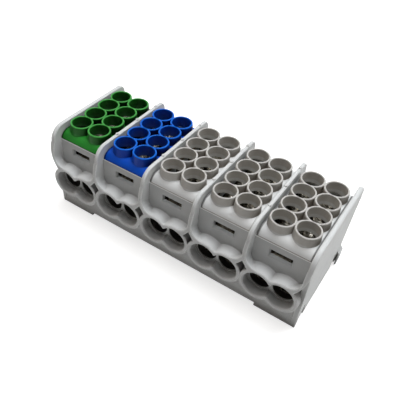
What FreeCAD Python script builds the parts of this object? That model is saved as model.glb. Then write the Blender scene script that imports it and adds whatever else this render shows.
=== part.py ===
import FreeCAD, Part
import math
import os
from FreeCAD import Vector

# Five-pole branch terminal block, sizes in millimetres.
# X runs along the row of poles, Y from the front wire entries to the rear ones, Z up.
# The origin lies on the standing plane, under the middle of the block.

# Poles and walls
POLES = 5
POLE_PITCH = 27.0
PARTITION = 1.8
END_WALL = 2.2
WALL_TOP = 48.8
WALL_FRONT = 28.0
WALL_REAR = 27.2
WALL_FRONT_RADIUS = 7.5
WALL_TIP_RADIUS = 4.2
WALL_EASE = 0.4
END_EDGE_DEPTH = 26.4
NUB_RADIUS = 0.7
NUB_HEIGHT = 0.45
NUB_PITCH = 15.5
NUB_MIDDLE = 4.0

# Heights of the base
SEAT_Z = 2.0
FLOOR_TOP = 12.3
FLOOR = 2.5
PLINTH_DEPTH = 24.35
PLINTH_WALL = 2.0
PANEL_FACE = 23.35
PANEL_WALL = 1.9

# Wire entries
WIRE_SPACING = 11.1
WIRE_Z = 20.25
WIRE_RADIUS = 5.0
WIRE_HOLE_CLEARANCE = 0.1
RIM_DEPTH = 29.65
COLLAR_RADIUS = 8.3
FUNNEL_RADIUS = 6.45
FUNNEL_BACK_RADIUS = 6.1
FUNNEL_DEPTH = 4.5
WAIST_HEIGHT = 7.9
WAIST_WIDTH = 1.2
LIP_RADIUS = 0.5

# Recess above the wire entries
RECESS_BACK_RADIUS = 7.0
RECESS_FRONT_CORNER = 6.0
RECESS_BACK_CORNER = 4.0
RECESS_VALLEY = 1.5
GAP_TOP_Z = 30.6
GAP_SIDE_Z = 25.9
GAP_HALF_WIDTH = 3.3
LEG_RADIUS = 24.0
LEG_TOP_Z = 40.5
LEG_REACH = 4.0
BROW_LOW_Z = 31.6
BROW_HIGH_Z = 41.0
BROW_BULGE = 0.35
RIM_EASE = 0.4

# Probe window in each panel
WINDOW_WIDTH = 10.2
WINDOW_HEIGHT = 3.6
WINDOW_Z = 35.8
WINDOW_BEVEL = 0.4

# Covers and their towers
DECK_TOP = 45.2
DECK = 1.5
COVER_RADIUS = 4.9
COVER_DROP = 3.5
COVER_CLEARANCE = 0.3
TOWER_TOP = 49.5
TOWER_RIM_RADIUS = 5.6
TOWER_BASE_RADIUS = 5.95
TOWER_WALL = 0.85
TOWER_EDGE = 0.3
ROWS = 4
ROW_PITCH = 10.1
TONGUE_WIDTH = 4.0
TONGUE_WALL = 1.1
TONGUE_LENGTH = 5.4
TONGUE_X = 8.9
BARB = 0.5
BARB_HEIGHT = 1.4
BARB_CLEARANCE = 0.1

# Terminal bodies and clamp screws
TERMINAL_CLEARANCE = 0.3
TERMINAL_HEIGHT = 21.3
TERMINAL_EDGE = 0.4
THREAD_RADIUS = 4.0
THREAD_CLEARANCE = 0.05
SCREW_LENGTH = 13.0
SCREW_TOP = 42.7
SCREW_TIP_RADIUS = 3.0
SCREW_TIP_HEIGHT = 1.0
SCREW_EDGE = 0.35
SLOT_WIDTH = 1.4
SLOT_DEPTH = 2.0

# Rail feet
RAIL_WIDTH = 35.0
RAIL_CLEARANCE = 0.1
FOOT_LENGTH = 20.5
HOOK_WALL = 1.8
HOOK_LIP = 1.0
HOOK_LIP_HEIGHT = 0.9
FOOT_TOE = 1.1
FOOT_HEEL = 5.9
SLIT_HEIGHT = 10.6
SLIT_TOP_WIDTH = 1.1
SLIT_BOTTOM_WIDTH = 7.2
LUG_STEP = 1.3
LUG_WIDTH = 8.5
LUG_DEPTH = 3.0
LUG_FRONT = 21.2
LUG_LOW = 0.2
LUG_HIGH = 10.2
LUG_EASE = 1.0
LUG_GAP = 0.55
LUG_GAP_TOP = 7.8

HALF_ROW = POLES * POLE_PITCH / 2
HALF_CHAMBER = (POLE_PITCH - PARTITION) / 2
HALF_LENGTH = HALF_ROW - PARTITION / 2 + END_WALL
CHAMBER_DEPTH = PANEL_FACE - PANEL_WALL
SEAM_Z = DECK_TOP - COVER_DROP
HALF_WIRES = WIRE_SPACING / 2


def pole_centres():
    """Give the X place of every pole, left to right."""
    return [(index - (POLES - 1) / 2) * POLE_PITCH for index in range(POLES)]


def row_places():
    """Give the Y place of every screw row, front to rear."""
    return [(index - (ROWS - 1) / 2) * ROW_PITCH for index in range(ROWS)]


def line(a, b):
    """Make a straight edge between two points."""
    return Part.LineSegment(a, b).toShape()


def arc(a, middle, b):
    """Make an arc from a to b that passes through the middle point."""
    return Part.Arc(a, middle, b).toShape()


def box(x_low, x_high, y_low, y_high, z_low, z_high):
    """Make a box from its limits."""
    size = (x_high - x_low, y_high - y_low, z_high - z_low)
    return Part.makeBox(*size, Vector(x_low, y_low, z_low))


def cylinder_y(radius, x, z, y_low, y_high):
    """Make a round bar along Y."""
    return Part.makeCylinder(radius, y_high - y_low, Vector(x, y_low, z), Vector(0, 1, 0))


def cone_y(radius_low, radius_high, x, z, y_low, y_high):
    """Make a tapered round bar along Y."""
    base = Vector(x, y_low, z)
    return Part.makeCone(radius_low, radius_high, y_high - y_low, base, Vector(0, 1, 0))


def prism_x(points, x_low, x_high):
    """Extrude a closed outline of (y, z) points along X."""
    corners = [Vector(x_low, y, z) for y, z in points]
    wire = Part.makePolygon(corners + corners[:1])
    return Part.Face(wire).extrude(Vector(x_high - x_low, 0, 0))


def prism_y(points, y_low, y_high):
    """Extrude a closed outline of (x, z) points along Y."""
    corners = [Vector(x, y_low, z) for x, z in points]
    wire = Part.makePolygon(corners + corners[:1])
    return Part.Face(wire).extrude(Vector(0, y_high - y_low, 0))


def both_sides(shape):
    """Give a front shape and its mirror image at the rear."""
    return [shape, shape.mirror(Vector(0, 0, 0), Vector(0, 1, 0))]


def both_ends(shape):
    """Give a right-hand shape and its mirror image at the left end."""
    return [shape, shape.mirror(Vector(0, 0, 0), Vector(1, 0, 0))]


def wall_plate(x_low, x_high, lower_front):
    """Make one upright wall with a rounded front shoulder and a pointed rear tip."""
    def at(y, z):
        return Vector(x_low, y, z)

    bend = math.sqrt(0.5)
    front_y = -WALL_FRONT + WALL_FRONT_RADIUS
    front_z = WALL_TOP - WALL_FRONT_RADIUS
    tip_y = WALL_REAR - WALL_TIP_RADIUS
    tip_z = WALL_TOP - WALL_TIP_RADIUS
    shoulder = at(front_y - WALL_FRONT_RADIUS * bend, front_z + WALL_FRONT_RADIUS * bend)
    tip = at(tip_y + WALL_TIP_RADIUS * bend, tip_z + WALL_TIP_RADIUS * bend)
    front_corner = at(-WALL_FRONT, LEG_TOP_Z - 3)
    rear_corner = at(WALL_REAR, LEG_TOP_Z - 3)
    front_step = at(-lower_front, BROW_LOW_Z + 1.5)
    rear_step = at(lower_front, BROW_LOW_Z + 1.5)
    front_foot = at(-PLINTH_DEPTH, SEAT_Z)
    rear_foot = at(PLINTH_DEPTH, SEAT_Z)
    edges = [
        line(front_foot, front_step),
        line(front_step, front_corner),
        line(front_corner, at(-WALL_FRONT, front_z)),
        arc(at(-WALL_FRONT, front_z), shoulder, at(front_y, WALL_TOP)),
        line(at(front_y, WALL_TOP), at(tip_y, WALL_TOP)),
        arc(at(tip_y, WALL_TOP), tip, at(WALL_REAR, tip_z)),
        line(at(WALL_REAR, tip_z), rear_corner),
        line(rear_corner, rear_step),
        line(rear_step, rear_foot),
        line(rear_foot, front_foot),
    ]
    plate = Part.Face(Part.Wire(edges)).extrude(Vector(x_high - x_low, 0, 0))
    eased = [edge for edge in plate.Edges if is_rim_edge(edge)]
    return plate.makeChamfer(WALL_EASE, eased)


def is_rim_edge(edge):
    """Tell whether an edge of a wall plate runs along its exposed upper rim."""
    first = edge.Vertexes[0].Point
    last = edge.Vertexes[-1].Point
    along = abs(first.x - last.x) < 0.01
    return along and min(first.z, last.z) > LEG_TOP_Z - 3.1


def walls():
    """Make the end walls and the partitions between the poles."""
    inner = HALF_LENGTH - END_WALL
    shapes = both_ends(wall_plate(inner, HALF_LENGTH, END_EDGE_DEPTH))
    for left in pole_centres()[:-1]:
        middle = left + POLE_PITCH / 2
        shapes.append(wall_plate(middle - PARTITION / 2, middle + PARTITION / 2, PLINTH_DEPTH))
        for step in (-1, 0, 1):
            place = Vector(middle, NUB_MIDDLE + step * NUB_PITCH, WALL_TOP - 1.0)
            shapes.append(Part.makeCylinder(NUB_RADIUS, 1.0 + NUB_HEIGHT, place))
    return shapes


def recess_wire(x, depth, hump_radius, corner_radius, grow=0.0):
    """Outline the recess above one pair of wire entries, at one depth, grown all round."""
    def at(dx, z):
        return Vector(x + dx, -depth, z)

    half = HALF_CHAMBER + grow
    hump_radius = hump_radius - grow
    corner_radius = corner_radius + grow
    valley_radius = RECESS_VALLEY + grow
    reach = hump_radius + corner_radius
    corner_x = half - corner_radius
    corner_z = WIRE_Z + math.sqrt(reach ** 2 - (corner_x - HALF_WIRES) ** 2)
    share = hump_radius / reach
    touch_x = HALF_WIRES + (corner_x - HALF_WIRES) * share
    touch_z = WIRE_Z + (corner_z - WIRE_Z) * share
    turn = math.atan2(touch_z - corner_z, touch_x - corner_x)
    half_turn = turn / 2
    bend_x = corner_x + corner_radius * math.cos(half_turn)
    bend_z = corner_z + corner_radius * math.sin(half_turn)
    valley_reach = hump_radius + valley_radius
    valley_z = WIRE_Z + math.sqrt(valley_reach ** 2 - HALF_WIRES ** 2)
    valley_share = hump_radius / valley_reach
    foot_x = HALF_WIRES * (1 - valley_share)
    foot_z = WIRE_Z + (valley_z - WIRE_Z) * valley_share
    crest_angle = math.atan2(touch_z - WIRE_Z, touch_x - HALF_WIRES)
    valley_angle = math.atan2(foot_z - WIRE_Z, foot_x - HALF_WIRES)
    middle = (crest_angle + valley_angle) / 2
    crest_x = HALF_WIRES + hump_radius * math.cos(middle)
    crest_z = WIRE_Z + hump_radius * math.sin(middle)
    top = BROW_HIGH_Z + 1
    return Part.Wire([
        line(at(-half, top), at(-half, corner_z)),
        arc(at(-half, corner_z), at(-bend_x, bend_z), at(-touch_x, touch_z)),
        arc(at(-touch_x, touch_z), at(-crest_x, crest_z), at(-foot_x, foot_z)),
        arc(at(-foot_x, foot_z), at(0, valley_z - valley_radius), at(foot_x, foot_z)),
        arc(at(foot_x, foot_z), at(crest_x, crest_z), at(touch_x, touch_z)),
        arc(at(touch_x, touch_z), at(bend_x, bend_z), at(half, corner_z)),
        line(at(half, corner_z), at(half, top)),
        line(at(half, top), at(-half, top)),
    ])


def recess(x):
    """Make the drafted recess that leaves the two humps over a pair of wire entries."""
    eased = RIM_DEPTH - RIM_EASE
    mouth = recess_wire(x, RIM_DEPTH, COLLAR_RADIUS, RECESS_FRONT_CORNER, RIM_EASE)
    front = recess_wire(x, eased, COLLAR_RADIUS, RECESS_FRONT_CORNER)
    back = recess_wire(x, PANEL_FACE, RECESS_BACK_RADIUS, RECESS_BACK_CORNER)
    return Part.makeLoft([mouth, front, back], True, True)


def gap_outline(x):
    """Outline the kite between two neighbouring collars."""
    return [
        (x, GAP_TOP_Z),
        (x + GAP_HALF_WIDTH, GAP_SIDE_Z),
        (x, WIRE_Z - 1),
        (x - GAP_HALF_WIDTH, GAP_SIDE_Z),
    ]


def end_cut():
    """Make the cut that frees the last leg and collar from the right-hand end wall."""
    def at(x, z):
        return Vector(x, -RIM_DEPTH - 1, z)

    outer = HALF_LENGTH + 1
    low_z = LEG_TOP_Z - math.sqrt(LEG_RADIUS ** 2 - (LEG_RADIUS - LEG_REACH) ** 2)
    middle_z = (LEG_TOP_Z + low_z) / 2
    bulge = LEG_RADIUS - math.sqrt(LEG_RADIUS ** 2 - (LEG_TOP_Z - middle_z) ** 2)
    start = at(HALF_LENGTH, LEG_TOP_Z)
    finish = at(HALF_LENGTH - LEG_REACH, low_z)
    inner_x = HALF_LENGTH - LEG_REACH - 1.5
    corners = [at(inner_x, WIRE_Z - 1), at(outer, WIRE_Z - 1), at(outer, LEG_TOP_Z)]
    edges = [
        arc(start, at(HALF_LENGTH - bulge, middle_z), finish),
        line(finish, corners[0]),
        line(corners[0], corners[1]),
        line(corners[1], corners[2]),
        line(corners[2], start),
    ]
    depth = RIM_DEPTH + 1 - PANEL_FACE
    return Part.Face(Part.Wire(edges)).extrude(Vector(0, depth, 0))


def brow_band():
    """Make the solid band behind the collars, with a brow that leans back to the walls."""
    def at(y, z):
        return Vector(-HALF_LENGTH, y, z)

    back = -PANEL_FACE + 0.5
    middle = at(-(RIM_DEPTH + WALL_FRONT) / 2 - BROW_BULGE, (BROW_LOW_Z + BROW_HIGH_Z) / 2)
    edges = [
        line(at(back, WIRE_Z), at(-RIM_DEPTH, WIRE_Z)),
        line(at(-RIM_DEPTH, WIRE_Z), at(-RIM_DEPTH, BROW_LOW_Z)),
        arc(at(-RIM_DEPTH, BROW_LOW_Z), middle, at(-WALL_FRONT, BROW_HIGH_Z)),
        line(at(-WALL_FRONT, BROW_HIGH_Z), at(back, BROW_HIGH_Z)),
        line(at(back, BROW_HIGH_Z), at(back, WIRE_Z)),
    ]
    return Part.Face(Part.Wire(edges)).extrude(Vector(2 * HALF_LENGTH, 0, 0))


def collars():
    """Make the front band of wire entry collars, legs and recesses, still without holes."""
    band = brow_band()
    cuts = [recess(x) for x in pole_centres()]
    for left in pole_centres()[:-1]:
        outline = gap_outline(left + POLE_PITCH / 2)
        cuts.append(prism_y(outline, -RIM_DEPTH - 1, -PLINTH_DEPTH))
    cuts += both_ends(end_cut())
    band = band.cut(cuts)
    rings = []
    for x in pole_centres():
        for side_sign in (-1, 1):
            place = x + side_sign * HALF_WIRES
            eased = -RIM_DEPTH + RIM_EASE
            rings.append(cylinder_y(COLLAR_RADIUS, place, WIRE_Z, eased, -PANEL_FACE + 0.5))
            tip_radius = COLLAR_RADIUS - RIM_EASE
            rings.append(cone_y(tip_radius, COLLAR_RADIUS, place, WIRE_Z, -RIM_DEPTH, eased))
    return band, rings


def front_side():
    """Make the panel, plinth and collars of the front."""
    band, rings = collars()
    lower = box(-HALF_LENGTH, HALF_LENGTH, -PLINTH_DEPTH, -CHAMBER_DEPTH, FLOOR_TOP - FLOOR, WIRE_Z)
    skirt_inner = -PLINTH_DEPTH + PLINTH_WALL
    skirt = box(-HALF_LENGTH, HALF_LENGTH, -PLINTH_DEPTH, skirt_inner, SEAT_Z, FLOOR_TOP)
    panel = box(-HALF_ROW, HALF_ROW, -PANEL_FACE, -CHAMBER_DEPTH, FLOOR_TOP, SEAM_Z)
    return [band, lower, skirt, panel] + rings


def funnels():
    """Make the cutters for the funnels and wire holes of the front."""
    back_y = -RIM_DEPTH + FUNNEL_DEPTH
    hole_radius = WIRE_RADIUS + WIRE_HOLE_CLEARANCE
    cutters = []
    for x in pole_centres():
        for side_sign in (-1, 1):
            place = x + side_sign * HALF_WIRES
            funnel = cone_y(FUNNEL_RADIUS, FUNNEL_BACK_RADIUS, place, WIRE_Z, -RIM_DEPTH, back_y)
            mouth = cone_y(
                FUNNEL_RADIUS + LIP_RADIUS,
                FUNNEL_RADIUS,
                place,
                WIRE_Z,
                -RIM_DEPTH,
                -RIM_DEPTH + LIP_RADIUS,
            )
            hole = cylinder_y(hole_radius, place, WIRE_Z, back_y - 0.1, -CHAMBER_DEPTH + 0.1)
            cutters += [funnel, mouth, hole]
        half = WAIST_WIDTH / 2
        low = WIRE_Z - WAIST_HEIGHT / 2
        high = WIRE_Z + WAIST_HEIGHT / 2
        cutters.append(box(x - half, x + half, -RIM_DEPTH - 1, back_y, low, high))
    return cutters


def windows():
    """Make the cutters for the probe windows of the front panels."""
    low = WINDOW_Z - WINDOW_HEIGHT / 2
    high = WINDOW_Z + WINDOW_HEIGHT / 2
    half = WINDOW_WIDTH / 2
    cutters = []
    for x in pole_centres():
        cutters.append(box(x - half, x + half, -PANEL_FACE - 1, -CHAMBER_DEPTH + 1, low, high))
        outer = [(x - half, low), (x + half, low), (x + half, high), (x - half, high)]
        inner_wire = Part.makePolygon([Vector(px, -PANEL_FACE + WINDOW_BEVEL, pz) for px, pz in outer + outer[:1]])
        grown = [
            (x - half - WINDOW_BEVEL, low - WINDOW_BEVEL),
            (x + half + WINDOW_BEVEL, low - WINDOW_BEVEL),
            (x + half + WINDOW_BEVEL, high + WINDOW_BEVEL),
            (x - half - WINDOW_BEVEL, high + WINDOW_BEVEL),
        ]
        outer_wire = Part.makePolygon([Vector(px, -PANEL_FACE, pz) for px, pz in grown + grown[:1]])
        cutters.append(Part.makeLoft([outer_wire, inner_wire], True, True))
    return cutters


def tongue_pockets():
    """Make the cutters for the pockets behind each panel that hold the cover's barbs."""
    low = SEAM_Z - TONGUE_LENGTH - BARB_CLEARANCE
    high = SEAM_Z - TONGUE_LENGTH + BARB_HEIGHT + BARB_CLEARANCE
    half = TONGUE_WIDTH / 2 + COVER_CLEARANCE
    depth = CHAMBER_DEPTH + BARB + BARB_CLEARANCE
    cutters = []
    for x in pole_centres():
        for side_sign in (-1, 1):
            place = x + side_sign * TONGUE_X
            cutters.append(box(place - half, place + half, -depth, -CHAMBER_DEPTH + 1, low, high))
    return cutters


def front_feet():
    """Make the two front feet, with their rail hooks, as one row of shapes."""
    inner_x = HALF_LENGTH - FOOT_LENGTH
    hook_inner = RAIL_WIDTH / 2 + RAIL_CLEARANCE
    hook_outer = hook_inner + HOOK_WALL
    lip = hook_inner - HOOK_LIP
    sole = prism_x(
        [
            (-PLINTH_DEPTH, FLOOR_TOP - 1),
            (-PLINTH_DEPTH, 0),
            (-PLINTH_DEPTH + FOOT_TOE, 0),
            (-PLINTH_DEPTH + FOOT_HEEL, SLIT_HEIGHT),
            (-PLINTH_DEPTH + FOOT_HEEL, FLOOR_TOP - 1),
        ],
        inner_x,
        HALF_LENGTH,
    )
    hook = prism_x(
        [
            (-hook_outer, FLOOR_TOP - 1),
            (-hook_outer, 0),
            (-hook_inner, 0),
            (-lip, HOOK_LIP_HEIGHT - 0.3),
            (-lip, HOOK_LIP_HEIGHT),
            (-hook_inner, HOOK_LIP_HEIGHT),
            (-hook_inner, FLOOR_TOP - 1),
        ],
        inner_x,
        HALF_LENGTH - END_WALL - COVER_CLEARANCE,
    )
    shapes = []
    for shape in (sole, hook):
        shapes += both_ends(shape)
    return shapes


def foot_slits():
    """Make the cutters for the slits that free the front feet from the end walls."""
    toe = -PLINTH_DEPTH + FOOT_TOE
    heel = -PLINTH_DEPTH + FOOT_HEEL
    cutter = prism_x(
        [
            (toe, 0),
            (toe, -1),
            (toe + SLIT_BOTTOM_WIDTH, -1),
            (heel + SLIT_TOP_WIDTH, SLIT_HEIGHT),
            (heel, SLIT_HEIGHT),
        ],
        HALF_LENGTH - END_WALL - 0.5,
        HALF_LENGTH + LUG_GAP,
    )
    return both_ends(cutter)


def release_lugs():
    """Make the rear release lugs, one at each end, and the gaps that part them from the walls."""
    outer = HALF_LENGTH + LUG_STEP
    inner = HALF_LENGTH - LUG_WIDTH
    finish = PLINTH_DEPTH + LUG_DEPTH
    outline = [
        (inner, LUG_LOW),
        (outer - LUG_EASE, LUG_LOW),
        (outer, LUG_LOW + LUG_EASE),
        (outer, LUG_HIGH - LUG_EASE * 2),
        (outer - LUG_EASE * 1.5, LUG_HIGH),
        (inner, LUG_HIGH),
    ]
    lug = prism_y(outline, LUG_FRONT, finish)
    rear = [edge for edge in lug.Edges if min(vertex.Point.y for vertex in edge.Vertexes) > finish - 0.01]
    lug = lug.makeChamfer(LUG_EASE, rear)
    gap = box(HALF_LENGTH, HALF_LENGTH + LUG_GAP, LUG_FRONT - 1, PLINTH_DEPTH, -1, LUG_GAP_TOP)
    return both_ends(lug), both_ends(gap)


def housing():
    """Make the one-piece housing that carries every other part."""
    solids = walls()
    for shape in front_side() + front_feet():
        solids += both_sides(shape)
    lugs, lug_gaps = release_lugs()
    solids += lugs
    inner = HALF_LENGTH - END_WALL / 2
    side = PLINTH_DEPTH - PLINTH_WALL / 2
    solids.append(box(-inner, inner, -side, side, FLOOR_TOP - FLOOR, FLOOR_TOP))
    body = solids[0].multiFuse(solids[1:])
    cutters = lug_gaps
    for shape in funnels() + windows() + tongue_pockets() + foot_slits():
        cutters += both_sides(shape)
    body = body.cut(cutters)
    return body.removeSplitter()


def tower_outer(x, y):
    """Make the solid outside of one screw tower, with an eased rim edge."""
    rim = TOWER_RIM_RADIUS - TOWER_EDGE
    low = SEAM_Z
    taper = (TOWER_BASE_RADIUS - TOWER_RIM_RADIUS) / (TOWER_TOP - DECK_TOP)
    low_radius = TOWER_BASE_RADIUS + taper * (DECK_TOP - low)
    edge_z = TOWER_TOP - TOWER_EDGE
    profile = Part.Wire([
        line(Vector(0, 0, low), Vector(low_radius, 0, low)),
        line(Vector(low_radius, 0, low), Vector(TOWER_RIM_RADIUS, 0, edge_z)),
        line(Vector(TOWER_RIM_RADIUS, 0, edge_z), Vector(rim, 0, TOWER_TOP)),
        line(Vector(rim, 0, TOWER_TOP), Vector(0, 0, TOWER_TOP)),
        line(Vector(0, 0, TOWER_TOP), Vector(0, 0, low)),
    ])
    tower = Part.Face(profile).revolve(Vector(0, 0, 0), Vector(0, 0, 1), 360)
    tower.translate(Vector(x, y, 0))
    return tower


def tower_bore(x, y):
    """Make the cutter for the well inside one tower, with an eased mouth."""
    radius = TOWER_RIM_RADIUS - TOWER_WALL
    ease = TOWER_EDGE * 0.7
    well = Part.makeCylinder(radius, TOWER_TOP - SEAM_Z + 6, Vector(x, y, SEAM_Z - 5))
    mouth = Part.makeCone(radius, radius + ease, ease, Vector(x, y, TOWER_TOP - ease))
    return well.fuse(mouth)


def cover_profile(radius, low_z, half_width):
    """Make a slab whose front and rear edges roll down to the seam, as an extrusion along X."""
    def at(y, z):
        return Vector(-half_width, y, z)

    centre_z = DECK_TOP - COVER_RADIUS
    rise = SEAM_Z - centre_z
    flat = PANEL_FACE - math.sqrt(COVER_RADIUS ** 2 - rise ** 2)
    edge_y = flat + math.sqrt(radius ** 2 - rise ** 2)
    middle = (math.pi / 2 + math.asin(rise / radius)) / 2
    bend_y = flat + radius * math.cos(middle)
    bend_z = centre_z + radius * math.sin(middle)
    top = centre_z + radius
    edges = [
        line(at(-edge_y, low_z), at(-edge_y, SEAM_Z)),
        arc(at(-edge_y, SEAM_Z), at(-bend_y, bend_z), at(-flat, top)),
        line(at(-flat, top), at(flat, top)),
        arc(at(flat, top), at(bend_y, bend_z), at(edge_y, SEAM_Z)),
        line(at(edge_y, SEAM_Z), at(edge_y, low_z)),
        line(at(edge_y, low_z), at(-edge_y, low_z)),
    ]
    return Part.Face(Part.Wire(edges)).extrude(Vector(2 * half_width, 0, 0))


def cover():
    """Make one snap-on cover, centred on its pole, with eight screw towers."""
    half = HALF_CHAMBER - COVER_CLEARANCE
    slab = cover_profile(COVER_RADIUS, SEAM_Z - 1, half)
    keep = box(-half, half, -PANEL_FACE - 1, PANEL_FACE + 1, SEAM_Z, DECK_TOP + 1)
    slab = slab.common(keep)
    hollow = cover_profile(COVER_RADIUS - DECK, SEAM_Z - 1, half + 1)
    towers = []
    bores = []
    for y in row_places():
        for side_sign in (-1, 1):
            towers.append(tower_outer(side_sign * HALF_WIRES, y))
            bores.append(tower_bore(side_sign * HALF_WIRES, y))
    towers = towers[0].multiFuse(towers[1:])
    skirts = []
    tongues = []
    skirt_inner = half - TONGUE_WALL
    skirt_depth = CHAMBER_DEPTH - COVER_CLEARANCE - TONGUE_WALL
    side_skirt = box(skirt_inner, half, -skirt_depth, skirt_depth, SEAM_Z - 2.5, DECK_TOP - DECK / 2)
    skirts += both_ends(side_skirt)
    outer_y = CHAMBER_DEPTH - COVER_CLEARANCE
    low = SEAM_Z - TONGUE_LENGTH
    for side_sign in (-1, 1):
        place = side_sign * TONGUE_X
        tongue = prism_x(
            [
                (-outer_y, DECK_TOP - DECK),
                (-outer_y, low + BARB_HEIGHT),
                (-outer_y - BARB - COVER_CLEARANCE, low + BARB_HEIGHT),
                (-outer_y, low),
                (-outer_y + TONGUE_WALL, low),
                (-outer_y + TONGUE_WALL, DECK_TOP - DECK / 2),
            ],
            place - TONGUE_WIDTH / 2,
            place + TONGUE_WIDTH / 2,
        )
        tongues += both_sides(tongue)
    shell = slab.fuse(towers).cut(hollow)
    shell = shell.multiFuse(skirts + tongues)
    return shell.cut(bores).removeSplitter()


def terminal():
    """Make one clamping body, centred on its pole, with two wire bores and eight threads."""
    half_x = HALF_CHAMBER - TERMINAL_CLEARANCE
    half_y = CHAMBER_DEPTH - TERMINAL_CLEARANCE
    top = FLOOR_TOP + TERMINAL_HEIGHT
    body = box(-half_x, half_x, -half_y, half_y, FLOOR_TOP, top)
    body = body.makeChamfer(TERMINAL_EDGE, body.Edges)
    cutters = []
    for side_sign in (-1, 1):
        x = side_sign * HALF_WIRES
        cutters.append(cylinder_y(WIRE_RADIUS, x, WIRE_Z, -half_y - 1, half_y + 1))
        for y in row_places():
            cutters.append(Part.makeCylinder(THREAD_RADIUS, top - WIRE_Z + 1, Vector(x, y, WIRE_Z)))
    return body.cut(cutters)


def screw():
    """Make one slotted clamp screw on the Z axis, in its raised place."""
    radius = THREAD_RADIUS - THREAD_CLEARANCE
    low = SCREW_TOP - SCREW_LENGTH
    points = [
        (0, low),
        (SCREW_TIP_RADIUS, low),
        (radius, low + SCREW_TIP_HEIGHT),
        (radius, SCREW_TOP - SCREW_EDGE),
        (radius - SCREW_EDGE, SCREW_TOP),
        (0, SCREW_TOP),
    ]
    corners = [Vector(r, 0, z) for r, z in points]
    profile = Part.Face(Part.makePolygon(corners + corners[:1]))
    body = profile.revolve(Vector(0, 0, 0), Vector(0, 0, 1), 360)
    half = SLOT_WIDTH / 2
    slot = box(-radius - 1, radius + 1, -half, half, SCREW_TOP - SLOT_DEPTH, SCREW_TOP + 1)
    return body.cut(slot)


def moved(shape, x, y, turn=0.0):
    """Give a copy of a shape, turned about Z and moved to its place."""
    copy = shape.copy()
    if turn:
        copy.rotate(Vector(0, 0, 0), Vector(0, 0, 1), turn)
    copy.translate(Vector(x, y, 0))
    return copy


def slot_turn(pole, row, column):
    """Give the angle at which a screw's slot happens to stand, in degrees."""
    return (37 * pole + 53 * row + 71 * column) % 180


def write(shape, node):
    """Write one sub-part to its own file."""
    shape.exportStep("parts/%s.step" % node)


def main():
    """Build and write every sub-part."""
    os.makedirs("parts", exist_ok=True)
    write(housing(), "housing")
    one_cover = cover()
    one_terminal = terminal()
    one_screw = screw()
    for pole, x in enumerate(pole_centres(), start=1):
        write(moved(one_cover, x, 0), "cover_%d" % pole)
        write(moved(one_terminal, x, 0), "terminal_%d" % pole)
        for row, y in enumerate(row_places(), start=1):
            for column, side_sign in (("left", -1), ("right", 1)):
                turn = slot_turn(pole, row, side_sign)
                place = x + side_sign * HALF_WIRES
                node = "clamp_screw_%d_%d_%s" % (pole, row, column)
                write(moved(one_screw, place, y, turn), node)


main()
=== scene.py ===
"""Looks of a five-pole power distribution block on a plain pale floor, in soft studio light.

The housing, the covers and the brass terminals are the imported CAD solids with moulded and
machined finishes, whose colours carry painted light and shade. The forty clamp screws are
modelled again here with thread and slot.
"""

import logging
import math
from dataclasses import dataclass, field
from enum import Enum

import bmesh
import bpy
from mathutils import Euler, Matrix, Vector


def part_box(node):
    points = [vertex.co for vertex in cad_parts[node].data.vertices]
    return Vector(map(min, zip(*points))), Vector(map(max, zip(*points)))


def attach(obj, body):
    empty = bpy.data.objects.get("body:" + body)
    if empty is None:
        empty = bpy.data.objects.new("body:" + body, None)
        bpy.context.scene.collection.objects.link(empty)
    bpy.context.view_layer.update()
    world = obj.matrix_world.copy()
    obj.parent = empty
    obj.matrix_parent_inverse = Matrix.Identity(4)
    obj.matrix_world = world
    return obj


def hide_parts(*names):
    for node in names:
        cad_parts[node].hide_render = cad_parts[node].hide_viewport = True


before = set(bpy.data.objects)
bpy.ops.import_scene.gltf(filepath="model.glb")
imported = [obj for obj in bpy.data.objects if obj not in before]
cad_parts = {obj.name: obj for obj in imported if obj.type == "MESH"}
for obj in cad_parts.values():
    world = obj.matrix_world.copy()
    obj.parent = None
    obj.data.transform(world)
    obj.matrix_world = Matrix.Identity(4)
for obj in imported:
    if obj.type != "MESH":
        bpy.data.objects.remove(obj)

Tree = bpy.types.NodeTree
Socket = bpy.types.NodeSocket
Triple = tuple[float, float, float]

log = logging.getLogger("distribution_block")

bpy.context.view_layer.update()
POLES = 5
ROWS = 4
POLE_PITCH = 0.027

# Masks in the block's frame, in metres. The boxes lie evenly about both upright middle planes.
# Where painted shade darkens the recessed panel faces.
PANEL_SHADE_BOX = (Vector((0.0, 0.0, 0.0262)), Vector((0.0665, 0.0236, 0.0410)))
# Where a painted highlight runs along the top lip of the front and rear panel faces.
LIP_HIGHLIGHT_BOX = (Vector((0.0, 0.0, 0.0411)), Vector((0.0665, 0.0237, 0.0418)))
# Where the wire holes are painted dark as shade.
BORE_SHADE_BOX = (Vector((0.0, 0.0, 0.0150)), Vector((0.0665, 0.0245, 0.0256)))
# Above these heights the housing gets no painted shade.
FUNNEL_TOPS = (0.0250, 0.0285)
# Heights of the towers' top rings, painted with light and shade.
PAINTED_TOWER_RINGS = (0.0490, 0.0493)

# Densities of the noises, in cells a metre.
CLOUDS = 95.0
PANEL_CLOUDS = 60.0
WAVES = 130.0
GRAIN = 5200.0
GLOSS = 420.0
STAINS = 300.0
WEAR = 500.0
TOOL_MARKS = 700.0


class Shade(Enum):
    """The moulding colours of the block, as linear red, green and blue."""

    HOUSING_GREY = (0.590, 0.595, 0.590)
    COVER_GREY = (0.590, 0.590, 0.580)
    GREEN = (0.018, 0.215, 0.022)
    BLUE = (0.000, 0.062, 0.440)

    def times(self, factor: float) -> Triple:
        """The colour made lighter or darker by a factor."""
        return scaled(self.value, factor)


def scaled(colour: Triple, factor: float) -> Triple:
    """A colour made lighter or darker by a factor."""
    return tuple(min(1.0, channel * factor) for channel in colour)


def placed(name: str, data: bpy.types.ID) -> bpy.types.Object:
    """Puts new data into the scene as one object at the origin.

    Args:
        name: The object's name.
        data: Its mesh, light or camera.

    Returns:
        The object.
    """
    thing = bpy.data.objects.new(name, data)
    bpy.context.scene.collection.objects.link(thing)
    return thing


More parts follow.
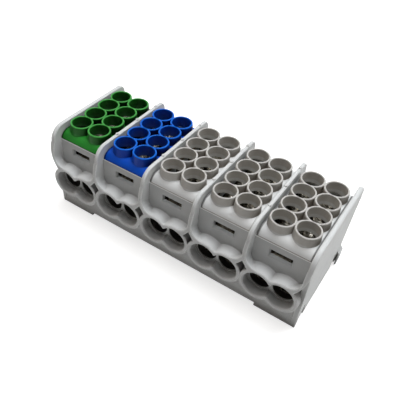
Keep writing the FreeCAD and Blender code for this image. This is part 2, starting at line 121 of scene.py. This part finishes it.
def node_material(name: str) -> tuple[bpy.types.Material, Tree, bpy.types.Node]:
    """Starts a node material with one Principled shader.

    Args:
        name: The material's name.

    Returns:
        The material, its node tree and its Principled shader.
    """
    material = bpy.data.materials.new(name)
    material.use_nodes = True
    tree = material.node_tree
    tree.nodes.clear()
    shader = tree.nodes.new("ShaderNodeBsdfPrincipled")
    output = tree.nodes.new("ShaderNodeOutputMaterial")
    tree.links.new(shader.outputs["BSDF"], output.inputs["Surface"])
    return material, tree, shader


def noise(tree: Tree, per_metre: float, detail: float, stretch: Vector = Vector((1, 1, 1))) -> Socket:
    """Adds a noise on Object coordinates.

    Args:
        tree: The node tree that gets the noise.
        per_metre: The noise's scale, in cells a metre.
        detail: Its octaves.
        stretch: How much denser the noise is along each axis.

    Returns:
        The noise's factor socket.
    """
    place = tree.nodes.new("ShaderNodeTexCoord")
    mapping = tree.nodes.new("ShaderNodeMapping")
    mapping.inputs["Scale"].default_value = stretch
    texture = tree.nodes.new("ShaderNodeTexNoise")
    texture.inputs["Scale"].default_value = per_metre
    texture.inputs["Detail"].default_value = detail
    tree.links.new(place.outputs["Object"], mapping.inputs["Vector"])
    tree.links.new(mapping.outputs["Vector"], texture.inputs["Vector"])
    return texture.outputs["Fac"]


def spread(tree: Tree, source: Socket, low: float, high: float) -> Socket:
    """Maps a noise's middle range to a range of values.

    Args:
        tree: The node tree.
        source: The noise's factor.
        low: The value where the noise is low.
        high: The value where the noise is high.

    Returns:
        The socket with the mapped value.
    """
    mapper = tree.nodes.new("ShaderNodeMapRange")
    mapper.inputs["From Min"].default_value = 0.3
    mapper.inputs["From Max"].default_value = 0.7
    mapper.inputs["To Min"].default_value = low
    mapper.inputs["To Max"].default_value = high
    tree.links.new(source, mapper.inputs["Value"])
    return mapper.outputs["Result"]


def reading(tree: Tree, source: Socket, low: float, high: float) -> Socket:
    """Turns a value into 0 to 1 between two readings.

    Args:
        tree: The node tree.
        source: The value.
        low: The reading that gives 0.
        high: The reading that gives 1.

    Returns:
        The socket with the result.
    """
    ramp = tree.nodes.new("ShaderNodeMapRange")
    ramp.inputs["From Min"].default_value = low
    ramp.inputs["From Max"].default_value = high
    tree.links.new(source, ramp.inputs["Value"])
    return ramp.outputs["Result"]


def larger(tree: Tree, first: Socket, second: Socket) -> Socket:
    """Takes the larger of two values.

    Args:
        tree: The node tree.
        first: One value.
        second: The other value.

    Returns:
        The socket with the larger one.
    """
    most = tree.nodes.new("ShaderNodeMath")
    most.operation = "MAXIMUM"
    tree.links.new(first, most.inputs[0])
    tree.links.new(second, most.inputs[1])
    return most.outputs["Value"]


def backdrop_rays(tree: Tree) -> Socket:
    """Finds the rays that see the white background: the camera's, mirrored and refracted ones.

    Args:
        tree: The node tree.

    Returns:
        A socket with 1 for those rays and 0 for the rest.
    """
    path = tree.nodes.new("ShaderNodeLightPath")
    seen = larger(tree, path.outputs["Is Camera Ray"], path.outputs["Is Glossy Ray"])
    return larger(tree, seen, path.outputs["Is Transmission Ray"])


def openness(tree: Tree, reach: float, closed: float, free: float) -> Socket:
    """Finds how openly a point of the surface lies.

    Args:
        tree: The node tree.
        reach: How far neighbouring surfaces count, in metres.
        closed: The share of open sky that gives 0.
        free: The share of open sky that gives 1.

    Returns:
        A socket with 0 far inside hollows and 1 on free faces.
    """
    sky = tree.nodes.new("ShaderNodeAmbientOcclusion")
    sky.samples = 5
    sky.inputs["Distance"].default_value = reach
    return reading(tree, sky.outputs["AO"], closed, free)


def above(tree: Tree, low: float, high: float) -> Socket:
    """Finds how far a point lies above a height.

    Args:
        tree: The node tree.
        low: The height that gives 0, in metres.
        high: The height that gives 1.

    Returns:
        A socket that rises from 0 to 1 between the heights.
    """
    place = tree.nodes.new("ShaderNodeTexCoord")
    axes = tree.nodes.new("ShaderNodeSeparateXYZ")
    tree.links.new(place.outputs["Object"], axes.inputs["Vector"])
    return reading(tree, axes.outputs["Z"], low, high)


def within(tree: Tree, low: Vector, high: Vector) -> Socket:
    """Finds the points inside a box that lies evenly about both upright middle planes.

    Args:
        tree: The node tree.
        low: The nearest corner to the middle, in metres.
        high: The farthest corner from the middle.

    Returns:
        A socket with 1 inside and 0 outside.
    """
    place = tree.nodes.new("ShaderNodeTexCoord")
    mirror = tree.nodes.new("ShaderNodeVectorMath")
    mirror.operation = "ABSOLUTE"
    axes = tree.nodes.new("ShaderNodeSeparateXYZ")
    tree.links.new(place.outputs["Object"], mirror.inputs[0])
    tree.links.new(mirror.outputs["Vector"], axes.inputs["Vector"])
    inside = None
    for axis, nearest, farthest in zip("XYZ", low, high):
        band = tree.nodes.new("ShaderNodeMath")
        band.operation = "COMPARE"
        band.inputs[1].default_value = (nearest + farthest) / 2
        band.inputs[2].default_value = (farthest - nearest) / 2
        tree.links.new(axes.outputs[axis], band.inputs[0])
        if inside is None:
            inside = band.outputs["Value"]
            continue
        both = tree.nodes.new("ShaderNodeMath")
        both.operation = "MULTIPLY"
        tree.links.new(inside, both.inputs[0])
        tree.links.new(band.outputs["Value"], both.inputs[1])
        inside = both.outputs["Value"]
    return inside


def rounded(tree: Tree, radius: float, samples: int) -> Socket:
    """Finds the surface's direction as if its edges were rounded.

    Args:
        tree: The node tree.
        radius: The rounding's radius, in metres.
        samples: How many rays look for edges.

    Returns:
        The normal's socket.
    """
    bevel = tree.nodes.new("ShaderNodeBevel")
    bevel.samples = samples
    bevel.inputs["Radius"].default_value = radius
    return bevel.outputs["Normal"]


def bumped(tree: Tree, height: Socket, normal: Socket, strength: float, distance: float) -> Socket:
    """Adds relief to a surface.

    Args:
        tree: The node tree.
        height: The relief's height, 0 to 1.
        normal: The surface's direction so far.
        strength: The relief's share, 0 to 1.
        distance: Its full height, in metres.

    Returns:
        The normal's socket.
    """
    bump = tree.nodes.new("ShaderNodeBump")
    bump.inputs["Strength"].default_value = strength
    bump.inputs["Distance"].default_value = distance
    tree.links.new(height, bump.inputs["Height"])
    tree.links.new(normal, bump.inputs["Normal"])
    return bump.outputs["Normal"]


def edges(tree: Tree, reach: float) -> Socket:
    """Finds how near a point lies to an edge.

    Args:
        tree: The node tree.
        reach: How far from the edge it still counts, in metres.

    Returns:
        A socket with 1 at edges and on narrow strips, and 0 on wide faces.
    """
    eased = rounded(tree, reach, 5)
    face = tree.nodes.new("ShaderNodeNewGeometry")
    turn = tree.nodes.new("ShaderNodeVectorMath")
    turn.operation = "DOT_PRODUCT"
    tree.links.new(eased, turn.inputs[0])
    tree.links.new(face.outputs["Normal"], turn.inputs[1])
    return reading(tree, turn.outputs["Value"], 0.995, 0.86)


def facing_up(tree: Tree, low: float = 0.15, high: float = 0.90) -> Socket:
    """Finds how far a face looks up.

    Args:
        tree: The node tree.
        low: The upward part of the normal that gives 0.
        high: The upward part that gives 1.

    Returns:
        A socket with 0 on upright faces and 1 on level ones.
    """
    face = tree.nodes.new("ShaderNodeNewGeometry")
    axes = tree.nodes.new("ShaderNodeSeparateXYZ")
    tree.links.new(face.outputs["Normal"], axes.inputs["Vector"])
    return reading(tree, axes.outputs["Z"], low, high)


def two_tints(tree: Tree, factor: Socket, first: Socket | Triple, second: Socket | Triple) -> Socket:
    """Mixes two colours, each a socket or a linear colour, by a factor.

    Args:
        tree: The node tree.
        factor: The socket that mixes them.
        first: What shows at 0.
        second: What shows at 1.

    Returns:
        The socket with the mixed colour.
    """
    mix = tree.nodes.new("ShaderNodeMix")
    mix.data_type = "RGBA"
    ends = [socket for socket in mix.inputs if socket.type == "RGBA"]
    for end, colour in zip(ends, (first, second)):
        if isinstance(colour, tuple):
            end.default_value = (*colour, 1.0)
        else:
            tree.links.new(colour, end)
    tree.links.new(factor, mix.inputs["Factor"])
    return next(socket for socket in mix.outputs if socket.type == "RGBA")


@dataclass(frozen=True)
class Moulding:
    """A fine-textured moulded thermoplastic, whose colour carries painted light and shade."""

    name: str
    shade: Shade
    # Colour of edges that face up: painted shade, darker than the grey housing. On a cover it colours the
    # towers' top rings instead: a painted highlight on the green and blue covers, painted shade on the
    # grey ones.
    rim: Triple
    # Dark colour painted into hollows, wells, wire holes and the seam line as shade.
    painted_hollow_shade: Triple
    roughness: float = 0.44
    shine: float = 0.2
    reach: float = 0.0085
    edge: float = 0.00016
    grain: float = 0.10

    def skin(self, tree: Tree) -> Socket:
        """Builds the cloudy colour of the free faces.

        Args:
            tree: The material's node tree.

        Returns:
            The colour's socket.
        """
        cloud = spread(tree, noise(tree, CLOUDS, 3.0), 0.0, 1.0)
        return two_tints(tree, cloud, self.shade.times(0.965), self.shade.times(1.03))

    def outside_painted_shade(self, tree: Tree) -> Socket:
        """Finds where no painted shade goes: 1 on faces that lie open, look up or stand above the funnels,
        0 in the hollows, which are painted dark as shade.
        """
        free = larger(tree, openness(tree, self.reach, 0.28, 0.82), facing_up(tree))
        return larger(tree, free, above(tree, *FUNNEL_TOPS))

    def tint(self, tree: Tree) -> Socket:
        """Builds the colour, with painted light and shade: edges painted lighter when upright and darker
        when they face up, a painted highlight along the top lip of the front and rear panel faces, and
        painted shade on the recessed panel faces, in the hollows and in the wire holes.

        Args:
            tree: The material's node tree.

        Returns:
            The colour's socket.
        """
        # Painted light on edges: upright edges are 1.4 times lighter, a painted highlight; edges that face
        # up take the rim colour, painted shade on the grey housing.
        rim = two_tints(tree, facing_up(tree, 0.55, 1.0), self.shade.times(1.40), self.rim)
        painted_rims = two_tints(tree, edges(tree, 0.0010), self.skin(tree), rim)
        # Painted shade: hollows take the dark hollow colour, while open and up-facing faces keep the tint.
        hollow_painted = two_tints(tree, self.outside_painted_shade(tree), self.painted_hollow_shade, painted_rims)
        # Painted shade: inside this mask the recessed panel faces take a darker cloudy tint, 0.79 to 0.85
        # of the moulding.
        shaded_panels = within(tree, *PANEL_SHADE_BOX)
        # Painted highlight: a thin strip along the top lip of the panel faces, 1.35 times lighter.
        lip_highlight = within(tree, *LIP_HIGHLIGHT_BOX)
        cloud = spread(tree, noise(tree, PANEL_CLOUDS, 3.0), 0.0, 1.0)
        shaded = two_tints(tree, cloud, self.shade.times(0.79), self.shade.times(0.85))
        lip_highlighted = two_tints(tree, lip_highlight, hollow_painted, self.shade.times(1.35))
        shown = two_tints(tree, shaded_panels, lip_highlighted, shaded)
        # Painted shade: the wire holes are painted near black.
        shaded_bores = within(tree, *BORE_SHADE_BOX)
        return two_tints(tree, shaded_bores, shown, scaled(self.painted_hollow_shade, 0.45))

    def relief(self, tree: Tree) -> Socket:
        """Builds the surface: eased edges, slow waves and spark-eroded grain.

        Args:
            tree: The material's node tree.

        Returns:
            The normal's socket.
        """
        waved = bumped(tree, noise(tree, WAVES, 1.0), rounded(tree, self.edge, 6), 0.12, 0.0004)
        return bumped(tree, noise(tree, GRAIN, 2.0), waved, self.grain, 0.00006)

    def material(self) -> bpy.types.Material:
        """Builds the finish.

        Returns:
            The material.
        """
        material, tree, shader = node_material(self.name)
        tree.links.new(self.tint(tree), shader.inputs["Base Color"])
        gloss = spread(tree, noise(tree, GLOSS, 4.0), self.roughness - 0.05, self.roughness + 0.06)
        tree.links.new(gloss, shader.inputs["Roughness"])
        tree.links.new(self.relief(tree), shader.inputs["Normal"])
        shader.inputs["IOR"].default_value = 1.5
        shader.inputs["Specular IOR Level"].default_value = self.shine
        return material


@dataclass(frozen=True)
class TowerMoulding(Moulding):
    """A cover's moulding, with painted shade on its towers, at its sides and in its wells, and painted
    light and shade on the towers' top rings.
    """

    reach: float = 0.0055
    sky: tuple[float, float] = (0.10, 0.52)
    # Height of the parting line; just above it the cover's lower edge is painted dark as the seam's
    # shadow.
    seam: float = 0.0417
    deck: float = 0.0453
    # Tint of the towers' sides, darker than the deck: painted shade.
    tower: Triple = (0.50, 0.48, 0.45)
    sink: Triple = (0.0285, -0.0226, 0.0445)
    sink_radius: float = 0.0013
    side: float = 0.0123
    # Width of the painted shade along the cover's sides, in the gaps to the walls.
    gap_shade_width: float = 0.0010
    gap_shade_core: float = 0.0006

    def outside_painted_shade(self, tree: Tree) -> Socket:
        """Finds where no painted shade goes: 1 on faces that lie open or look up, 0 on the wells' walls,
        which are painted dark as shade.
        """
        return larger(tree, openness(tree, self.reach, *self.sky), facing_up(tree))

    def gap_shade(self, tree: Tree) -> Socket:
        """Finds the cover's sides, which lie in the narrow gaps to the walls, where shade is painted.

        Args:
            tree: The material's node tree.

        Returns:
            A socket with 1 at the sides and 0 elsewhere.
        """
        place = tree.nodes.new("ShaderNodeTexCoord")
        axes = tree.nodes.new("ShaderNodeSeparateXYZ")
        pole = tree.nodes.new("ShaderNodeMath")
        pole.operation = "WRAP"
        pole.inputs[1].default_value = POLE_PITCH / 2
        pole.inputs[2].default_value = -POLE_PITCH / 2
        half = tree.nodes.new("ShaderNodeMath")
        half.operation = "ABSOLUTE"
        tree.links.new(place.outputs["Object"], axes.inputs["Vector"])
        tree.links.new(axes.outputs["X"], pole.inputs[0])
        tree.links.new(pole.outputs["Value"], half.inputs[0])
        begin, full = self.side - self.gap_shade_width, self.side - self.gap_shade_core
        return reading(tree, half.outputs["Value"], begin, full)

    def tint(self, tree: Tree) -> Socket:
        """Builds the colour: deck with a painted seam shadow and painted shade at its sides, towers with
        painted shade, the towers' top rings with painted light and shade, and the wells painted dark as
        shade.

        Args:
            tree: The material's node tree.

        Returns:
            The colour's socket.
        """
        # Painted shadow: a thin dark line at the cover's lower edge, along the seam.
        seam_shadow_mask = above(tree, self.seam + 0.00018, self.seam + 0.0003)
        seam_shadowed = two_tints(tree, seam_shadow_mask, scaled(self.painted_hollow_shade, 1.5), self.skin(tree))
        # Painted shade: the cover's sides in the gaps to the walls go near black.
        gap_shaded = two_tints(tree, self.gap_shade(tree), seam_shadowed, self.shade.times(0.22))
        # Painted shade: the towers above the deck take the darker tower tint.
        towers = two_tints(tree, above(tree, self.deck, self.deck + 0.0005), gap_shaded, self.tower)
        # Painted light and shade: the towers' top rings take the rim colour.
        painted_rims = two_tints(tree, above(tree, *PAINTED_TOWER_RINGS), towers, self.rim)
        # Painted shade: the wells' walls take the dark hollow colour.
        return two_tints(tree, self.outside_painted_shade(tree), self.painted_hollow_shade, painted_rims)

    def relief(self, tree: Tree) -> Socket:
        """Builds the surface, with the one shallow sink mark before the fourth pole's towers.

        Args:
            tree: The material's node tree.

        Returns:
            The normal's socket.
        """
        place = tree.nodes.new("ShaderNodeTexCoord")
        away = tree.nodes.new("ShaderNodeVectorMath")
        away.operation = "DISTANCE"
        away.inputs[1].default_value = self.sink
        tree.links.new(place.outputs["Object"], away.inputs[0])
        hollow = reading(tree, away.outputs["Value"], 0.0, self.sink_radius)
        return bumped(tree, hollow, super().relief(tree), 1.0, 0.0004)


@dataclass(frozen=True)
class Machined:
    """A turned or milled metal with tool marks."""

    name: str
    light: Triple
    dark: Triple
    roughness: float
    edge: float = 0.00015
    reach: float = 0.030
    marks: Vector = field(default_factory=lambda: Vector((1.0, 1.0, 9.0)))
    cut: float = 0.02

    def material(self) -> bpy.types.Material:
        """Builds the finish: stained metal with tool marks and eased edges, painted near black as shade
        far inside hollows.

        Returns:
            The material.
        """
        material, tree, shader = node_material(self.name)
        stain = spread(tree, noise(tree, STAINS, 4.0), 0.0, 1.0)
        tint = two_tints(tree, stain, self.dark, self.light)
        # Painted shade: far inside hollows the metal is painted near black.
        free = openness(tree, self.reach, 0.03, 0.20)
        tree.links.new(two_tints(tree, free, scaled(self.dark, 0.15), tint), shader.inputs["Base Color"])
        wear = spread(tree, noise(tree, WEAR, 3.0), self.roughness - 0.05, self.roughness + 0.10)
        tree.links.new(wear, shader.inputs["Roughness"])
        shader.inputs["Metallic"].default_value = 1.0
        marks = noise(tree, TOOL_MARKS, 3.0, self.marks)
        relief = bumped(tree, marks, rounded(tree, self.edge, 4), self.cut, 0.00025)
        tree.links.new(relief, shader.inputs["Normal"])
        return material


def soften(node: bpy.types.Object, crease_degrees: float = 20.0) -> None:
    """Joins a CAD node's loose triangles with modifiers and shades its curved faces smooth.

    Args:
        node: The CAD node's object.
        crease_degrees: Edges sharper than this stay crisp.
    """
    node.data.polygons.foreach_set("use_smooth", [True] * len(node.data.polygons))
    weld = node.modifiers.new("joined triangles", "WELD")
    weld.merge_threshold = 2e-6
    split = node.modifiers.new("crisp edges", "EDGE_SPLIT")
    split.split_angle = math.radians(crease_degrees)


def dress(node: bpy.types.Object, material: bpy.types.Material) -> None:
    """Puts one material on all faces of a CAD node.

    Args:
        node: The CAD node's object.
        material: The finish.
    """
    soften(node)
    node.data.materials.clear()
    node.data.materials.append(material)
    log.info("%s: %d faces", node.name, len(node.data.polygons))


@dataclass
class Housing:
    """The grey moulding that carries everything."""

    node: str = "housing"
    finish: Moulding = Moulding(
        "grey moulding", Shade.HOUSING_GREY, rim=(0.48, 0.470, 0.450), painted_hollow_shade=(0.085, 0.076, 0.063)
    )

    def build(self) -> None:
        """Dresses the moulding."""
        dress(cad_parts[self.node], self.finish.material())


@dataclass
class Covers:
    """The five tower covers, green, blue and three grey."""

    finishes: tuple[TowerMoulding, ...] = (
        TowerMoulding(
            "green moulding",
            Shade.GREEN,
            rim=(0.050, 0.300, 0.052),
            painted_hollow_shade=(0.0005, 0.009, 0.0005),
            roughness=0.36,
            shine=0.15,
            reach=0.0075,
            sky=(0.42, 0.92),
            tower=(0.012, 0.140, 0.013),
        ),
        TowerMoulding(
            "blue moulding",
            Shade.BLUE,
            rim=(0.002, 0.115, 0.560),
            painted_hollow_shade=(0.0000, 0.002, 0.030),
            roughness=0.36,
            shine=0.15,
            reach=0.0075,
            sky=(0.30, 0.80),
            tower=(0.000, 0.048, 0.400),
        ),
        TowerMoulding(
            "light grey moulding",
            Shade.COVER_GREY,
            rim=(0.47, 0.455, 0.430),
            painted_hollow_shade=(0.15, 0.122, 0.092),
            roughness=0.42,
        ),
    )

    def build(self) -> None:
        """Dresses each cover in its pole's colour."""
        materials = [finish.material() for finish in self.finishes]
        for pole in range(1, POLES + 1):
            dress(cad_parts[f"cover_{pole}"], materials[min(pole, len(materials)) - 1])


@dataclass
class Terminals:
    """The tin-plated brass bodies inside the housing."""

    finish: Machined = Machined(
        "tinned brass",
        light=(0.27, 0.245, 0.195),
        dark=(0.060, 0.051, 0.037),
        roughness=0.24,
        marks=Vector((9.0, 1.0, 1.0)),
    )

    def build(self) -> None:
        """Dresses the five bodies."""
        material = self.finish.material()
        for pole in range(1, POLES + 1):
            dress(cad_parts[f"terminal_{pole}"], material)


@dataclass
class ClampScrews:
    """The forty slotted clamp screws with their threads."""

    pitch: float = 0.00125
    thread_depth: float = 0.00062
    slot_width: float = 0.0014
    slot_depth: float = 0.0020
    top_edge: float = 0.00085
    dome: tuple[tuple[float, float], ...] = ((0.90, 0.00032), (0.72, 0.00016), (0.45, 0.00005), (0.0, 0.0))
    tip_radius: float = 0.0026
    tip_height: float = 0.0010
    steps: int = 40
    crease_degrees: float = 28.0
    finish: Machined = Machined(
        "zinc-plated steel",
        light=(0.92, 0.88, 0.80),
        dark=(0.24, 0.22, 0.18),
        roughness=0.16,
        edge=0.0003,
        reach=0.008,
        cut=0.45,
    )

    def turned_profile(self, radius: float, length: float) -> list[tuple[float, float]]:
        """The screw's half section, from the tip's middle to the top's middle.

        Args:
            radius: The thread's outer radius.
            length: The screw's length.

        Returns:
            Points as radius and height, in metres.
        """
        root = radius - self.thread_depth
        shoulder = length - self.top_edge
        points = [(0.0, 0.0), (self.tip_radius, 0.0)]
        height = self.tip_height
        while height + self.pitch < shoulder:
            points.append((root, height))
            points.append((radius, height + self.pitch * 0.44))
            points.append((radius, height + self.pitch * 0.56))
            height += self.pitch
        points.append((root, height))
        points.append((radius, min(height + self.pitch * 0.44, shoulder)))
        points.append((radius, shoulder))
        for share, drop in self.dome:
            points.append((radius * share, length - drop))
        return points

    def slotted(self, mesh: bmesh.types.BMesh, length: float) -> None:
        """Cuts the driver slot across the top of the screw.

        Args:
            mesh: The turned screw, standing on the origin.
            length: The screw's length.
        """
        floor = length - self.slot_depth
        half = self.slot_width / 2
        planes = (((half, 0, 0), (1, 0, 0)), ((-half, 0, 0), (1, 0, 0)), ((0, 0, floor), (0, 0, 1)))
        for place, normal in planes:
            everything = mesh.verts[:] + mesh.edges[:] + mesh.faces[:]
            bmesh.ops.bisect_plane(mesh, geom=everything, dist=1e-7, plane_co=place, plane_no=normal)
        gone = []
        for face in mesh.faces:
            middle = face.calc_center_median()
            if abs(middle.x) < half and middle.z > floor:
                gone.append(face)
        bmesh.ops.delete(mesh, geom=gone, context="FACES")
        corners = {}
        for vert in mesh.verts:
            on_floor = abs(vert.co.z - floor) < 1e-7 and vert.is_boundary
            if on_floor and abs(abs(vert.co.x) - half) < 1e-7:
                corners[(vert.co.x > 0, vert.co.y > 0)] = vert
        for side in (False, True):
            mesh.edges.new((corners[(side, False)], corners[(side, True)]))
        rim = [edge for edge in mesh.edges if edge.is_boundary or edge.is_wire]
        bmesh.ops.edgenet_fill(mesh, edges=rim)
        bmesh.ops.recalc_face_normals(mesh, faces=mesh.faces[:])

    def shaded(self, mesh: bmesh.types.BMesh) -> None:
        """Shades the screw smooth, apart from its sharp edges.

        Args:
            mesh: The finished screw.
        """
        for face in mesh.faces:
            face.smooth = True
        for edge in mesh.edges:
            edge.smooth = edge.calc_face_angle(0.0) < math.radians(self.crease_degrees)

    def screw(self, node: str, turn: float) -> bpy.types.Object:
        """Models one screw in its CAD node's place.

        Args:
            node: The CAD screw's name.
            turn: The slot's angle about the screw's axis, in radians.

        Returns:
            The screw's object.
        """
        low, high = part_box(node)
        radius = (high.x - low.x) / 2
        length = high.z - low.z
        mesh = bmesh.new()
        points = self.turned_profile(radius, length)
        profile = [mesh.verts.new((reach, 0.0, height)) for reach, height in points]
        outline = [mesh.edges.new(pair) for pair in zip(profile, profile[1:])]
        bmesh.ops.spin(
            mesh,
            geom=profile + outline,
            cent=(0, 0, 0),
            axis=(0, 0, 1),
            angle=math.tau,
            steps=self.steps,
            use_merge=True,
        )
        bmesh.ops.remove_doubles(mesh, verts=mesh.verts[:], dist=1e-6)
        bmesh.ops.recalc_face_normals(mesh, faces=mesh.faces[:])
        self.slotted(mesh, length)
        self.shaded(mesh)
        place = Matrix.Translation(((low.x + high.x) / 2, (low.y + high.y) / 2, low.z))
        bmesh.ops.transform(mesh, matrix=place @ Matrix.Rotation(turn, 4, "Z"), verts=mesh.verts[:])
        data = bpy.data.meshes.new(node + "_threaded")
        mesh.to_mesh(data)
        mesh.free()
        return placed(node + "_threaded", data)

    def slot_turn(self, pole: int, row: int, sign: int) -> float:
        """The angle at which a screw's slot happens to stand, in radians."""
        return math.radians((37 * pole + 53 * row + 71 * sign) % 180)

    def build(self) -> None:
        """Models and places all the screws."""
        material = self.finish.material()
        for pole in range(1, POLES + 1):
            for row in range(1, ROWS + 1):
                for side, sign in (("left", -1), ("right", 1)):
                    node = f"clamp_screw_{pole}_{row}_{side}"
                    piece = self.screw(node, self.slot_turn(pole, row, sign))
                    piece.data.materials.append(material)
                    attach(piece, node + "_body")
                    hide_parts(node)
            log.info("clamp screws of pole %d placed", pole)


@dataclass(frozen=True)
class Lamp:
    """One soft square lamp that faces the part."""

    name: str
    place: Triple
    size: float
    watts: float
    colour: Triple

    def hang(self, aim: Triple) -> None:
        """Puts the lamp into the scene.

        Args:
            aim: The point it faces.
        """
        data = bpy.data.lights.new(self.name, "AREA")
        data.shape = "SQUARE"
        data.size = self.size
        data.energy = self.watts
        data.color = self.colour
        lamp = placed(self.name, data)
        lamp.location = self.place
        lamp.rotation_euler = (Vector(aim) - Vector(self.place)).to_track_quat("-Z", "Y").to_euler()


@dataclass
class Studio:
    """The floor, the lights and the camera."""

    floor_colour: Triple = (0.56, 0.555, 0.545)
    floor_size: float = 3.0
    glow_near: tuple[float, float] = (0.15, 0.72)
    glow_far: tuple[float, float] = (0.60, 1.0)
    aim: Triple = (0.0, 0.0, 0.02)
    lamps: tuple[Lamp, ...] = (
        Lamp("sky panel", (0.10, 0.25, 0.80), 0.50, 5.7, (0.90, 0.96, 1.0)),
        Lamp("top panel", (0.0, 0.0, 0.85), 0.60, 3.6, (1.0, 0.98, 0.99)),
        Lamp("side panel", (0.75, 0.05, 0.35), 0.40, 0.25, (1.0, 0.86, 0.74)),
        Lamp("front panel", (0.05, -0.85, 0.30), 0.50, 0.3, (1.0, 0.94, 0.88)),
        Lamp("glint lamp", (0.30, 0.34, 0.62), 0.06, 0.4, (1.0, 0.98, 0.94)),
        Lamp("left panel", (-0.75, -0.10, 0.40), 0.50, 0.8, (1.0, 0.84, 0.64)),
    )
    room_light: float = 0.02
    camera_place: Triple = (0.0877961, -0.1633814, 0.1897652)
    camera_turn: Triple = (46.724566, -2.802805, 34.639168)
    lens: float = 45.3167
    shift: tuple[float, float] = (0.07, 0.0125)

    def floor(self) -> None:
        """Lays a wide pale floor that takes the part's shadow and grows white away from the part."""
        mesh = bmesh.new()
        bmesh.ops.create_grid(mesh, x_segments=8, y_segments=8, size=self.floor_size)
        data = bpy.data.meshes.new("floor")
        mesh.to_mesh(data)
        mesh.free()
        floor = placed("floor", data)
        material, tree, shader = node_material("pale floor")
        shader.inputs["Base Color"].default_value = (*self.floor_colour, 1.0)
        shader.inputs["Roughness"].default_value = 0.9
        glow = tree.nodes.new("ShaderNodeEmission")
        place = tree.nodes.new("ShaderNodeTexCoord")
        distance = tree.nodes.new("ShaderNodeVectorMath")
        distance.operation = "LENGTH"
        haze = tree.nodes.new("ShaderNodeMapRange")
        haze.inputs["From Min"].default_value, haze.inputs["To Min"].default_value = self.glow_near
        haze.inputs["From Max"].default_value, haze.inputs["To Max"].default_value = self.glow_far
        seen = tree.nodes.new("ShaderNodeMath")
        seen.operation = "MULTIPLY"
        tree.links.new(place.outputs["Object"], distance.inputs[0])
        tree.links.new(distance.outputs["Value"], haze.inputs["Value"])
        tree.links.new(haze.outputs["Result"], seen.inputs[1])
        both = tree.nodes.new("ShaderNodeAddShader")
        output = next(node for node in tree.nodes if node.type == "OUTPUT_MATERIAL")
        tree.links.new(backdrop_rays(tree), seen.inputs[0])
        tree.links.new(seen.outputs["Value"], glow.inputs["Strength"])
        tree.links.new(shader.outputs["BSDF"], both.inputs[0])
        tree.links.new(glow.outputs["Emission"], both.inputs[1])
        tree.links.new(both.outputs["Shader"], output.inputs["Surface"])
        data.materials.append(material)

    def lights(self) -> None:
        """Hangs the lamps."""
        for lamp in self.lamps:
            lamp.hang(self.aim)

    def room(self) -> None:
        """Sets the world: a trace of light on the part, and white where the background is seen."""
        world = bpy.data.worlds.new("studio")
        bpy.context.scene.world = world
        world.use_nodes = True
        tree = world.node_tree
        tree.nodes.clear()
        room = tree.nodes.new("ShaderNodeBackground")
        room.inputs["Color"].default_value = (0.99, 0.99, 1.0, 1.0)
        room.inputs["Strength"].default_value = self.room_light
        white = tree.nodes.new("ShaderNodeBackground")
        white.inputs["Color"].default_value = (1.0, 1.0, 1.0, 1.0)
        white.inputs["Strength"].default_value = 1.0
        mix = tree.nodes.new("ShaderNodeMixShader")
        output = tree.nodes.new("ShaderNodeOutputWorld")
        tree.links.new(backdrop_rays(tree), mix.inputs["Fac"])
        tree.links.new(room.outputs["Background"], mix.inputs[1])
        tree.links.new(white.outputs["Background"], mix.inputs[2])
        tree.links.new(mix.outputs["Shader"], output.inputs["Surface"])

    def camera(self) -> None:
        """Sets the camera where the photograph was taken from."""
        data = bpy.data.cameras.new("camera")
        data.sensor_width = 36.0
        data.lens = self.lens
        data.shift_x, data.shift_y = self.shift
        data.clip_start = 0.01
        camera = placed("camera", data)
        camera.location = self.camera_place
        camera.rotation_euler = Euler([math.radians(angle) for angle in self.camera_turn], "XYZ")
        bpy.context.scene.camera = camera

    def build(self) -> None:
        """Sets up floor, lights, world, camera and view transform."""
        self.floor()
        self.lights()
        self.room()
        self.camera()
        bpy.context.scene.view_settings.view_transform = "Standard"
        log.info("studio ready")


def main() -> None:
    """Builds the part's looks piece by piece, then the studio."""
    logging.basicConfig(level=logging.INFO, format="%(message)s")
    for assembly in (Housing(), Covers(), Terminals(), ClampScrews(), Studio()):
        assembly.build()


if __name__ == "__main__":
    main()
